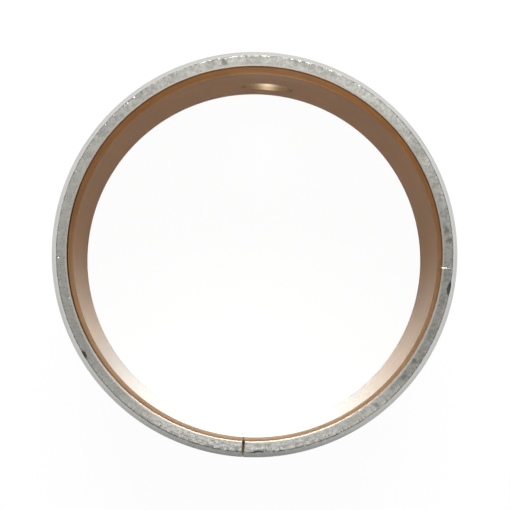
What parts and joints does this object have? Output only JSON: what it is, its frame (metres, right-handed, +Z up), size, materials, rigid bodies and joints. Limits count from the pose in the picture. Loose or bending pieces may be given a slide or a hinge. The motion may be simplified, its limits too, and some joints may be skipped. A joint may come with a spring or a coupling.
{
  "type": "split bushing",
  "caption": "Rolled split bushing with a bronze lining bonded inside a steel back, a lead chamfer at each end and an oil hole opposite the split.",
  "frame": {"origin": "centre of the lower end, on the plane that the bush stands on", "axes": "+Z up along the bore, +Y out through the oil hole, and the split runs close to -Y"},
  "size_m": [0.044, 0.044, 0.025],
  "materials": {
    "steel": "satin",
    "bronze": "satin"
  },
  "bodies": {
    "root": {"steel_back": "steel", "bronze_lining": "bronze"}
  },
  "joints": []
}
